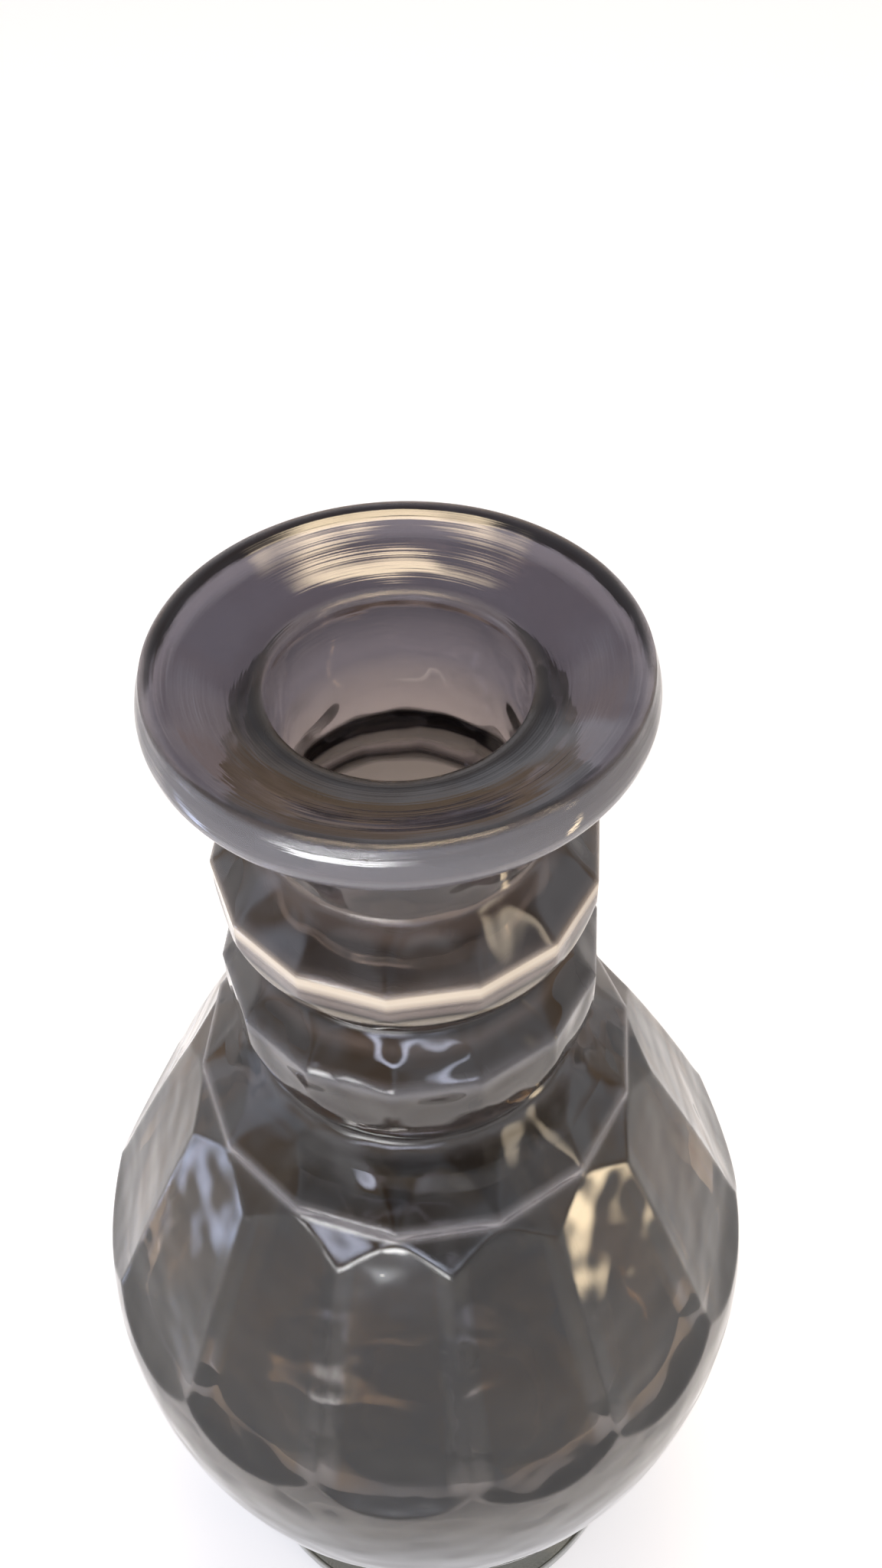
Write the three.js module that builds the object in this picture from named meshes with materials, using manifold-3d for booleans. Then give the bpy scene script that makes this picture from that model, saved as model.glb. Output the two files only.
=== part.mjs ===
// Cut-glass wine carafe, in millimetres, +Z up, with its origin at the centre of the foot's resting face.
// A blown bulb with a tall neck carries a spread foot, two facet-cut neck rings and a dished lip.
// A facet corner of each ring and of the shoulder faces -Y, and so does the middle of a flute.
import * as THREE from "three";
import { mergeVertices } from "three/addons/utils/BufferGeometryUtils.js";
import Module from "manifold-3d";

// Facets round the carafe
const facetCount = 14;

// Foot
const stemRadius = 34;
const footSpread = 10.2;
const footHeight = 12;
const footEdgeHeight = 5;
const footEdgeRounding = 1.4;
const footHollowRadius = 30;
const footHollowDepth = 0.8;
const pontilRadius = 13;
const pontilDepth = 1.6;

// Bulb
const bellyRadius = 59;
const lowerBulbHeight = 85;
const upperBulbHeight = 62;
const bulbWall = 6;
const bulbFloor = 9;

// Shoulder
const ridgeRadius = 34.6;
const ridgeSlope = 59;
const ridgeBandHeight = 2;
const shoulderHeight = 9.5;
const shoulderSeatWidth = 4.6;
const panelHeight = 6.6;
const panelSlope = 43.6;
const spurLength = 6;

// Flutes
const fluteLength = 38;
const fluteRunOut = 11;
const fluteBow = 0.4;
const fluteEndDepth = 2.7;
const fluteHollowRadius = 140;

// Neck and bore
const mouthRadius = 16.6;
const neckWall = 3.1;
const bareNeckHeight = 12.6;
const groundBoreLength = 36;
const groundBoreTaper = 2.1;
const neckInnerRadius = 15.2;

// Neck rings
const lowerRingHeight = 25.3;
const lowerRingProjection = 8.2;
const lowerRingCrestHeight = 17.5;
const upperRingHeight = 19.6;
const upperRingProjection = 7.3;
const upperRingCrestHeight = 13.1;
const ringCrestBand = 1.2;
const ringGrooveProjection = 2.6;
const ringTopProjection = 0.9;
const ringCutDepth = 0.4;

// Lip
const lipHeight = 15;
const lipOverhang = 12.3;
const lipRimHeight = 7;
const lipRimBulge = 1.1;
const lipDishDepth = 4.5;
const lipEdgeRounding = 0.7;

// Clearances where one piece of glass meets the next
const collarGap = 0.3;
const seatGap = 0.05;

// How far a cutting block reaches past the glass
const cutMargin = 1;

// Steps of the turned surfaces
const turnedSteps = facetCount * 4;
const curveSteps = 10;
const sweepSteps = 5;
const roundingSteps = 2;
const fluteStepsAcross = 8;
const fluteStepLength = 6;
const vertexMergeDistance = 1e-4;
const degree = Math.PI / 180;

// Sizes that follow from the ones above
const neckRadius = mouthRadius + neckWall;
const seatRadius = neckRadius + shoulderSeatWidth;
const facetHalfAngle = Math.PI / facetCount;
const bulbHeight = lowerBulbHeight + upperBulbHeight;
const fluteTopHeight = bulbHeight - ridgeBandHeight;
const ringSeatHeight = bulbHeight + shoulderHeight;
const neckHeight = lowerRingHeight + upperRingHeight + bareNeckHeight;
const bulbTop = ringSeatHeight + neckHeight;
const mouthHeight = bulbTop + lipHeight - lipDishDepth;

const wasm = await Module();
wasm.setup();

// A point of a turned profile: distance from the axis, and height.
function at(radius, height) {
  return new THREE.Vector2(radius, height);
}

// Points along a cubic curve, without its first point, so that stretches can be joined.
function curve(start, startPull, endPull, end, steps = curveSteps) {
  return new THREE.CubicBezierCurve(start, startPull, endPull, end).getPoints(steps).slice(1);
}

// A solid of revolution about +Z with a first corner towards -Y.
function turned(profile, steps = turnedSteps) {
  const geometry = new THREE.LatheGeometry(profile, steps);
  return geometry.rotateX(Math.PI / 2);
}

// A three.js geometry as a solid for cutting and joining.
function solidOf(geometry) {
  const bare = geometry.clone();
  bare.deleteAttribute("normal");
  bare.deleteAttribute("uv");
  const merged = mergeVertices(bare, vertexMergeDistance);
  const solid = new wasm.Manifold(
    new wasm.Mesh({
      numProp: 3,
      vertProperties: merged.attributes.position.array,
      triVerts: new Uint32Array(merged.index.array),
    }),
  );
  return solid;
}

// A solid back as a three.js geometry.
function geometryOf(solid) {
  const mesh = solid.getMesh();
  const geometry = new THREE.BufferGeometry();
  geometry.setAttribute("position", new THREE.BufferAttribute(mesh.vertProperties, 3));
  geometry.setIndex(new THREE.BufferAttribute(mesh.triVerts, 1));
  geometry.computeVertexNormals();
  return geometry;
}

// Radius of the ground, tapered bore at a height above the bulb's seat on the foot.
function boreRadius(height) {
  return mouthRadius - (groundBoreTaper * (mouthHeight - height)) / groundBoreLength;
}

// The bulb's outside from its seat to the belly and up to the shoulder ridge.
function bulbOutline() {
  const foot = at(stemRadius, 0);
  const belly = at(bellyRadius, lowerBulbHeight);
  const ridge = at(ridgeRadius, bulbHeight);
  const slope = ridgeSlope * degree;
  const ridgePull = 0.265 * upperBulbHeight;
  return [
    foot,
    ...curve(
      foot,
      at(stemRadius + 0.1 * (bellyRadius - stemRadius), 0.2 * lowerBulbHeight),
      at(bellyRadius, 0.5 * lowerBulbHeight),
      belly,
    ),
    ...curve(
      belly,
      at(bellyRadius, lowerBulbHeight + 0.4 * upperBulbHeight),
      at(ridgeRadius + ridgePull * Math.cos(slope), bulbHeight - ridgePull * Math.sin(slope)),
      ridge,
    ),
  ];
}

// Corner radius of the shoulder panels at a height above the ridge.
function panelRadius(height) {
  return ridgeRadius - height / Math.tan(panelSlope * degree);
}

// The shoulder from the ridge to the panels' top, its cove to the lower ring's seat, then the neck tube.
function neckOutline() {
  const panelTop = at(panelRadius(panelHeight) * Math.cos(facetHalfAngle), bulbHeight + panelHeight);
  const coveHeight = shoulderHeight - panelHeight;
  const seat = at(seatRadius, ringSeatHeight);
  return [
    panelTop,
    ...curve(
      panelTop,
      at(seatRadius + 0.4 * (panelTop.x - seatRadius), panelTop.y + 0.35 * coveHeight),
      at(seatRadius, panelTop.y + 0.75 * coveHeight),
      seat,
      roundingSteps * 2,
    ),
    at(neckRadius, ringSeatHeight),
    at(neckRadius, bulbTop),
  ];
}

// The inside from the neck's end down the bore, past the shoulder and round the floor of the bulb.
function insideOutline() {
  const boreEnd = mouthHeight - groundBoreLength;
  const shoulderInside = at(neckInnerRadius, ringSeatHeight - 0.5 * bulbWall);
  const bellyInside = at(bellyRadius - bulbWall, lowerBulbHeight);
  const floor = at(0, bulbFloor);
  return [
    at(boreRadius(bulbTop), bulbTop),
    at(boreRadius(boreEnd), boreEnd),
    at(neckInnerRadius, boreEnd - 2 * Math.abs(neckInnerRadius - boreRadius(boreEnd))),
    shoulderInside,
    ...curve(
      shoulderInside,
      at(neckInnerRadius, bulbHeight - 0.02 * upperBulbHeight),
      at(bellyInside.x, lowerBulbHeight + 0.58 * upperBulbHeight),
      bellyInside,
    ),
    ...curve(
      bellyInside,
      at(bellyInside.x, 0.45 * lowerBulbHeight),
      at(0.62 * bellyInside.x, bulbFloor),
      floor,
    ),
  ];
}

// A many-sided envelope, open to the sides below its first height, that cuts flat facets when intersected.
function facetEnvelope(corners) {
  const profile = [at(0, corners[0].y), ...corners, at(0, corners[corners.length - 1].y)];
  return solidOf(turned(profile, facetCount));
}

// A point of the bulb's outline at a height, sunk square to the surface by a depth.
function sunkPoint(outline, height, depth) {
  const above = outline.findIndex((point) => point.y > height);
  const [a, b] = [outline[above - 1], outline[above]];
  const along = b.clone().sub(a).normalize();
  const onSurface = a.clone().lerp(b, (height - a.y) / (b.y - a.y));
  return onSurface.add(at(-along.y, along.x).multiplyScalar(depth));
}

// The circle of an arc that runs down from one point to another and bows outwards from the straight line.
function bowedArc(top, end, bow) {
  const chord = end.clone().sub(top);
  const radius = (chord.lengthSq() / 4 + bow * bow) / (2 * bow);
  const outwards = at(-chord.y, chord.x).normalize();
  const centre = top.clone().addScaledVector(chord, 0.5).addScaledVector(outwards, bow - radius);
  return { centre, radius };
}

// The radius of the wheel that lies along a flute at its end and leaves the bulb at the run-out's end.
function runOutRadius(touch, outward, leave) {
  const chord = leave.clone().sub(touch);
  return chord.lengthSq() / (2 * chord.dot(outward));
}

// A disc or ring about a level axis square to the front, at a point of the front profile plane.
function wheel(profile, radius, centre) {
  const steps = Math.ceil((2 * Math.PI * radius) / fluteStepLength);
  const geometry = new THREE.LatheGeometry(profile, steps);
  return geometry.rotateZ(-Math.PI / 2).translate(0, -centre.x, centre.y);
}

// The glass that one flute takes away: a long hollow sweep down from the ridge band, then a short run-out.
function fluteCutter(outline) {
  const endHeight = fluteTopHeight - fluteLength;
  const top = at(ridgeRadius, fluteTopHeight);
  const end = sunkPoint(outline, endHeight, fluteEndDepth);
  const leave = sunkPoint(outline, endHeight - fluteRunOut, 0);
  const { centre, radius } = bowedArc(top, end, fluteBow);
  const outward = end.clone().sub(centre).normalize();
  const wheelRadius = runOutRadius(end, outward, leave);
  const wheelCentre = end.clone().addScaledVector(outward, wheelRadius);

  const halfWidth = 1.25 * bellyRadius * Math.sin(facetHalfAngle);
  const thickness = bellyRadius / 4;
  const hollow = [];
  for (let i = 0; i <= fluteStepsAcross; i += 1) {
    const across = halfWidth * (1 - (2 * i) / fluteStepsAcross);
    hollow.push(at((across * across) / (2 * fluteHollowRadius), across));
  }
  const sweep = wheel(
    [
      at(radius + thickness, -halfWidth),
      at(radius + thickness, halfWidth),
      ...hollow.map((point) => at(radius + point.x, point.y)),
      at(radius + thickness, -halfWidth),
    ],
    radius,
    centre,
  );
  const runOut = wheel(
    [
      at(0, -halfWidth),
      ...hollow.map((point) => at(wheelRadius - point.x, -point.y)),
      at(0, halfWidth),
    ],
    wheelRadius * 2,
    wheelCentre,
  );
  const sweepStretch = frontBlock(halfWidth, end.y, fluteTopHeight);
  const runOutStretch = frontBlock(halfWidth, end.y - 2 * fluteRunOut, end.y);
  return solidOf(sweep).intersect(sweepStretch).add(solidOf(runOut).intersect(runOutStretch));
}

// A block in front of the neck between two heights, wider than a flute, that keeps a cutter to its stretch.
function frontBlock(halfWidth, low, high) {
  const reach = 2 * bellyRadius;
  const block = new THREE.BoxGeometry(3 * halfWidth, reach, high - low);
  return solidOf(block.translate(0, -neckRadius - reach / 2, (low + high) / 2));
}

// The blown bulb: turned outside and inside, flat panels round the shoulder, flutes down to the belly.
// Between them runs an upright ridge band, and below each of its flats a spur comes to a point between two flutes.
function makeBulb() {
  const outline = bulbOutline();
  const profile = [at(0, 0), ...outline, ...neckOutline(), ...insideOutline()];
  const wide = 2 * bellyRadius;
  const spurEnd = sunkPoint(outline, fluteTopHeight - spurLength, 0);
  const spurSpread = (spurEnd.x / Math.cos(facetHalfAngle) - ridgeRadius) / spurLength;
  const panels = facetEnvelope([
    at(wide, -cutMargin),
    at(wide, fluteTopHeight - (wide - ridgeRadius) / spurSpread),
    at(ridgeRadius, fluteTopHeight),
    at(ridgeRadius, bulbHeight),
    at(panelRadius(panelHeight), bulbHeight + panelHeight),
    at(wide, bulbHeight + panelHeight),
    at(wide, bulbTop + cutMargin),
  ]);
  let solid = solidOf(turned(profile)).intersect(panels);
  const cutter = fluteCutter(outline);
  for (let i = 0; i < facetCount; i += 1) {
    solid = solid.subtract(cutter.rotate([0, 0, (360 * i) / facetCount]));
  }
  return geometryOf(solid);
}

// A neck ring: a turned collar with a rounded underside, cut to a many-sided crest and sloping facets.
function makeRing({ height, bottomRadius, crestRadius, crestHeight, topRadius }) {
  const inner = neckRadius + collarGap;
  const turnedCrest = crestRadius + ringCutDepth;
  const bottom = at(bottomRadius, 0);
  const crestBottom = at(turnedCrest, crestHeight - ringCrestBand / 2);
  const crestTop = at(turnedCrest, crestHeight + ringCrestBand / 2);
  const top = height - seatGap;
  const profile = [
    at(inner, 0),
    bottom,
    ...curve(
      bottom,
      at(bottomRadius + 0.45 * (turnedCrest - bottomRadius), 0.2 * crestBottom.y),
      at(turnedCrest, 0.62 * crestBottom.y),
      crestBottom,
      sweepSteps,
    ),
    crestTop,
    at(topRadius, top),
    at(inner, top),
    at(inner, 0),
  ];
  const facets = facetEnvelope([
    at(crestRadius, -cutMargin),
    at(crestRadius, crestHeight + ringCrestBand / 2),
    at(topRadius / Math.cos(facetHalfAngle), top),
    at(topRadius / Math.cos(facetHalfAngle), height + cutMargin),
  ]);
  return geometryOf(solidOf(turned(profile)).intersect(facets));
}

// The applied lip: seat on the neck's end, coved underside, rounded rim and a dished top to the mouth.
function makeLip() {
  const seat = at(neckRadius, 0);
  const rimRadius = neckRadius + lipOverhang;
  const rimBottom = at(rimRadius - lipRimBulge, lipHeight - lipRimHeight);
  const rimTop = at(rimRadius - 0.8 * lipRimBulge, lipHeight - lipEdgeRounding);
  const crown = at(rimTop.x - lipEdgeRounding, lipHeight);
  const mouth = at(mouthRadius + lipEdgeRounding, lipHeight - lipDishDepth);
  const throat = at(mouthRadius, mouth.y - lipEdgeRounding);
  const seatBore = boreRadius(bulbTop);
  const profile = [
    at(seatBore, 0),
    seat,
    ...curve(
      seat,
      at(neckRadius + 0.04 * lipOverhang, 0.35 * rimBottom.y),
      at(neckRadius + 0.42 * lipOverhang, 0.82 * rimBottom.y),
      rimBottom,
      sweepSteps,
    ),
    ...curve(
      rimBottom,
      at(rimRadius + 0.4 * lipRimBulge, rimBottom.y + 0.2 * lipRimHeight),
      at(rimRadius + 0.4 * lipRimBulge, rimTop.y - 0.4 * lipRimHeight),
      rimTop,
      sweepSteps,
    ),
    ...curve(rimTop, at(rimTop.x, lipHeight), at(rimTop.x, lipHeight), crown, roundingSteps),
    ...curve(
      crown,
      at(crown.x - 0.3 * (crown.x - mouth.x), lipHeight - 0.15 * lipDishDepth),
      at(crown.x - 0.62 * (crown.x - mouth.x), lipHeight - 0.98 * lipDishDepth),
      mouth,
      sweepSteps,
    ),
    ...curve(mouth, at(mouthRadius, mouth.y), at(mouthRadius, mouth.y), throat, roundingSteps),
    at(seatBore, 0),
  ];
  return turned(profile);
}

// The foot: a seat for the bulb, a swept top, a rounded edge and a ground underside with a pontil hollow.
function makeFoot() {
  const radius = stemRadius + footSpread;
  const seatHeight = footHeight - seatGap;
  const edgeTop = at(radius - footEdgeRounding, footEdgeHeight);
  const edgeSide = at(radius, footEdgeHeight - footEdgeRounding);
  const edgeLow = at(radius, footEdgeRounding);
  const rest = at(radius - footEdgeRounding, 0);
  const profile = [
    at(0, pontilDepth + footHollowDepth),
    ...curve(
      at(0, pontilDepth + footHollowDepth),
      at(0.5 * pontilRadius, pontilDepth + footHollowDepth),
      at(0.85 * pontilRadius, footHollowDepth + 0.35 * pontilDepth),
      at(pontilRadius, footHollowDepth),
      sweepSteps,
    ),
    at(footHollowRadius, 0),
    rest,
    ...curve(rest, at(radius, 0), at(radius, 0), edgeLow, roundingSteps),
    edgeSide,
    ...curve(edgeSide, at(radius, footEdgeHeight), at(radius, footEdgeHeight), edgeTop, roundingSteps),
    ...curve(
      edgeTop,
      at(stemRadius + 0.35 * footSpread, footEdgeHeight + 0.12 * (seatHeight - footEdgeHeight)),
      at(stemRadius, footEdgeHeight + 0.4 * (seatHeight - footEdgeHeight)),
      at(stemRadius, seatHeight),
      sweepSteps,
    ),
    at(0, seatHeight),
  ];
  return turned(profile);
}

// A named piece of clear lead glass at its height in the carafe.
function piece(name, geometry, height) {
  const material = new THREE.MeshStandardMaterial({
    color: 0x77727a,
    roughness: 0.05,
    metalness: 0,
    transparent: true,
    opacity: 0.45,
  });
  const mesh = new THREE.Mesh(geometry, material);
  mesh.name = name;
  mesh.position.z = height;
  return mesh;
}

const grooveRadius = neckRadius + ringGrooveProjection;
const lowerRingHeightAbove = footHeight + ringSeatHeight + seatGap;
const upperRingHeightAbove = lowerRingHeightAbove + lowerRingHeight;

const carafe = new THREE.Group();
carafe.add(
  piece("foot", makeFoot(), 0),
  piece("bulb", makeBulb(), footHeight),
  piece(
    "lower_neck_ring",
    makeRing({
      height: lowerRingHeight,
      bottomRadius: seatRadius,
      crestRadius: neckRadius + lowerRingProjection,
      crestHeight: lowerRingCrestHeight,
      topRadius: grooveRadius,
    }),
    lowerRingHeightAbove,
  ),
  piece(
    "upper_neck_ring",
    makeRing({
      height: upperRingHeight,
      bottomRadius: grooveRadius,
      crestRadius: neckRadius + upperRingProjection,
      crestHeight: upperRingCrestHeight,
      topRadius: neckRadius + ringTopProjection,
    }),
    upperRingHeightAbove,
  ),
  piece("lip", makeLip(), footHeight + bulbTop + seatGap),
);

export default carafe;
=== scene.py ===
"""Cut-glass wine carafe: one skin of clear lead glass over the CAD frame, with its studio floor, light and camera."""

import math
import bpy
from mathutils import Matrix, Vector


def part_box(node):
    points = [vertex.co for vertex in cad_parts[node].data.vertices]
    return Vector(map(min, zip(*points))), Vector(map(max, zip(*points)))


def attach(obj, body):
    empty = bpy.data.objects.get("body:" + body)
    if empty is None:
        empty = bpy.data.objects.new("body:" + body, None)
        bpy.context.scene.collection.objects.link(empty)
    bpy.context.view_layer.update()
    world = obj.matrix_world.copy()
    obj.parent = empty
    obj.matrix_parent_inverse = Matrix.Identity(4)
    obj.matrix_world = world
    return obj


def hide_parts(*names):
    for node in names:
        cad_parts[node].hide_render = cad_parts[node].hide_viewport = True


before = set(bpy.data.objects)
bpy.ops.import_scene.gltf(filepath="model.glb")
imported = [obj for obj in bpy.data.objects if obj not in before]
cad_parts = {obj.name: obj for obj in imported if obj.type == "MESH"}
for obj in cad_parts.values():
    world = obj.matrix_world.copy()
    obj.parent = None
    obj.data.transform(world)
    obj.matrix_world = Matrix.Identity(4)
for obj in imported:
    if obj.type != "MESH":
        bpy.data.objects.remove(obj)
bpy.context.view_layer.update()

from types import SimpleNamespace

import bpy
import numpy as np
from mathutils import Matrix, Vector

bl_info = {
    "name": "Cut-glass wine carafe",
    "version": (1, 0, 0),
    "blender": (4, 5, 0),
    "location": "3D View > Sidebar > Carafe",
    "description": "Builds a hand-cut glass wine carafe, its glass and its studio",
    "category": "Object",
}

MM = 0.001
NODES = ("foot", "bulb", "lower_neck_ring", "upper_neck_ring", "lip")

# The photograph's frame
PHOTO_HEIGHT_PX = 2048
FOCAL_PX = 1900

# Columns of the skin between a facet's corner and its middle
COLUMNS_PER_HALF_FACET = 9


def node_top(node):
    """Height of a CAD node's top in metres."""
    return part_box(node)[1].z


def node_radius(node):
    """Largest distance of a CAD node's box from the axis in metres."""
    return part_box(node)[1].y


FOOT_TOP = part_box("bulb")[0].z
NECK_END = node_top("bulb")
BELLY_RADIUS = node_radius("bulb")
FOOT_RADIUS = node_radius("foot")
LOWER_RING_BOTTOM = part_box("lower_neck_ring")[0].z
UPPER_RING_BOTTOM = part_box("upper_neck_ring")[0].z
UPPER_RING_TOP = node_top("upper_neck_ring")
LIP_TOP = node_top("lip")
LIP_RADIUS = node_radius("lip")


def linear(hex_colour):
    """An sRGB hex colour as linear red, green, blue and alpha."""
    value = hex_colour.lstrip("#")
    channels = [int(value[i:i + 2], 16) / 255 for i in (0, 2, 4)]
    toe, slope, offset, power = 0.04045, 12.92, 0.055, 2.4
    return [c / slope if c <= toe else ((c + offset) / (1 + offset)) ** power for c in channels] + [1.0]


def length_setting(name, description, metres):
    """A size in metres that a user may change."""
    return bpy.props.FloatProperty(
        name=name, description=description, default=metres, min=0.0, unit="LENGTH", subtype="DISTANCE", precision=4
    )


class CarafeShape(bpy.types.PropertyGroup):
    """Sizes of the glass."""

    facets: bpy.props.IntProperty(
        name="Facets", description="Flutes, panels and ring facets round the carafe", default=14, min=6
    )
    stem_radius: length_setting("Stem radius", "Radius where the bulb meets the foot", 34 * MM)
    foot_edge_height: length_setting("Foot edge height", "Height of the foot's edge", 5 * MM)
    belly_height: length_setting("Belly height", "Height of the widest part above the table", 97 * MM)
    ridge_height: length_setting("Ridge height", "Height of the ridge between flutes and shoulder panels", 159 * MM)
    ridge_radius: length_setting("Ridge radius", "Radius of the ridge's corners", 34.6 * MM)
    ridge_band: length_setting("Ridge band", "Height of the upright band under the ridge", 2 * MM)
    panel_height: length_setting("Panel height", "Height of a shoulder panel above the ridge", 6.6 * MM)
    spur_length: length_setting("Spur length", "Height of the pointed spur under the ridge", 6 * MM)
    flute_length: length_setting("Flute length", "Height of a flute's long sweep", 38 * MM)
    flute_run_out: length_setting("Flute run-out", "Height over which a flute leaves the belly", 11 * MM)
    flute_bow: length_setting("Flute bow", "How far a flute's long sweep bows out of the straight line", 0.4 * MM)
    flute_end_depth: length_setting("Flute end depth", "Depth of a flute where its run-out starts", 2.7 * MM)
    flute_hollow: length_setting("Flute hollow", "Radius of the hollow across a flute", 140 * MM)
    neck_radius: length_setting("Neck radius", "Outer radius of the bare neck", 19.7 * MM)
    groove_radius: length_setting("Groove radius", "Radius of the groove between the rings", 22.3 * MM)
    seat_radius: length_setting("Shoulder top radius", "Radius of the groove under the lower ring", 24.3 * MM)
    crest_band: length_setting("Crest band", "Height of the upright band on each ring", 1.2 * MM)
    lower_crest: length_setting("Lower crest", "Height of the lower ring's crest above its underside", 17.5 * MM)
    upper_crest: length_setting("Upper crest", "Height of the upper ring's crest above its underside", 13.1 * MM)
    mouth_radius: length_setting("Mouth radius", "Radius of the bore at the mouth", 16.6 * MM)
    dish_depth: length_setting("Dish depth", "Depth of the lip's dish", 4.5 * MM)
    neck_inside: length_setting("Neck inside", "Inner radius of the neck", 15.2 * MM)
    wall: length_setting("Wall", "Thickness of the bulb's wall at the belly", 6 * MM)
    floor: length_setting("Floor", "Thickness of the glass under the wine, above the foot", 9 * MM)


class CarafeGlass(bpy.types.PropertyGroup):
    """Look of the glass."""

    lip_tint: bpy.props.StringProperty(
        name="Lip tint", description="Colour that each wall of the lip gives to what is seen through it, as sRGB hex",
        default="#6c6876"
    )
    # Painted highlight: a pale colour for the lip's rim, the ridge band and the lower ring's crest
    rim_ridge_crest_highlight: bpy.props.StringProperty(
        name="Rim tint", description="Colour of the lip's rim and of the ridge and the lower ring's crest, as sRGB hex",
        default="#f2f0fa"
    )
    # Painted highlight: cream for the upper ring's crest and underside
    crest_highlight_tint: bpy.props.StringProperty(
        name="Bright tint", description="Colour of the upper ring's worn crest, as sRGB hex", default="#fff0d8"
    )
    # Painted shade: near black brown for the grooves and for a line under the upper ring's crest
    painted_groove_shade: bpy.props.StringProperty(
        name="Groove tint", description="Colour of the residue in the grooves, as sRGB hex", default="#1c130e"
    )
    bore_tint: bpy.props.StringProperty(
        name="Bore tint", description="Colour that the bore's wall gives to what is seen through it, as sRGB hex",
        default="#a09a9c"
    )
    ring_tint: bpy.props.StringProperty(
        name="Ring tint", description="Colour that each wall of the neck gives to what is seen through it, as sRGB hex",
        default="#ccb9b0"
    )
    body_tint: bpy.props.StringProperty(
        name="Body tint", description="Colour that each wall of the bulb gives to what is seen through it, as sRGB hex",
        default="#c6c4c4"
    )
    foot_tint: bpy.props.StringProperty(
        name="Foot tint", description="Colour that each wall of the foot gives to what is seen through it, as sRGB hex",
        default="#74746c"
    )
    # Painted shade in the flutes: its coolest and its warmest colour
    cool_flute_shade: bpy.props.StringProperty(
        name="Cool film", description="Colour of the coolest polishing film in the flutes, as sRGB hex",
        default="#1e2028"
    )
    warm_flute_shade: bpy.props.StringProperty(
        name="Warm film", description="Colour of the warmest polishing film in the flutes, as sRGB hex",
        default="#aa865c"
    )
    depth_tint: bpy.props.StringProperty(
        name="Depth tint", description="Colour that thick glass takes, as sRGB hex", default="#8c8482"
    )
    absorption: bpy.props.FloatProperty(
        name="Absorption", description="How fast the depth tint deepens, per metre of glass", default=120.0, min=0.0
    )
    refraction: bpy.props.FloatProperty(
        name="Refraction", description="Index of refraction of lead glass", default=1.545, min=1.0
    )


def bezier(start, start_pull, end_pull, end, steps):
    """Points of a cubic curve, evenly spaced in its parameter: the four corners weighted by (1-t)^3, 3t(1-t)^2,
    3t^2(1-t) and t^3. The first point is left out, so that stretches can be joined."""
    t = np.linspace(0, 1, steps + 1)[1:, None]
    corners = [np.array(p, float) for p in (start, start_pull, end_pull, end)]
    weights = ((1 - t) ** 3, 3 * t * (1 - t) ** 2, 3 * t * t * (1 - t), t ** 3)
    return sum(w * c for w, c in zip(weights, corners))


def line(start, end, steps):
    """Evenly spaced points from start to end, without the first."""
    t = np.linspace(0, 1, steps + 1)[1:, None]
    return np.array(start, float) * (1 - t) + np.array(end, float) * t


def bulb_outline(shape, steps):
    """The bulb's outside below the ridge: one cubic curve from the foot to the belly and one on to the ridge."""
    stem = (shape.stem_radius, FOOT_TOP)
    belly = (BELLY_RADIUS, shape.belly_height)
    ridge = (shape.ridge_radius, shape.ridge_height)
    lower = shape.belly_height - FOOT_TOP
    upper = shape.ridge_height - shape.belly_height
    slope, pull_share = math.radians(59), 0.265
    pull = pull_share * upper
    rise = bezier(
        stem,
        (shape.stem_radius + 0.1 * (BELLY_RADIUS - shape.stem_radius), FOOT_TOP + 0.2 * lower),
        (BELLY_RADIUS, FOOT_TOP + 0.5 * lower),
        belly,
        steps,
    )
    fall = bezier(
        belly,
        (BELLY_RADIUS, shape.belly_height + 0.4 * upper),
        (shape.ridge_radius + pull * math.cos(slope), shape.ridge_height - pull * math.sin(slope)),
        ridge,
        steps,
    )
    return np.vstack([[stem], rise, fall])


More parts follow.
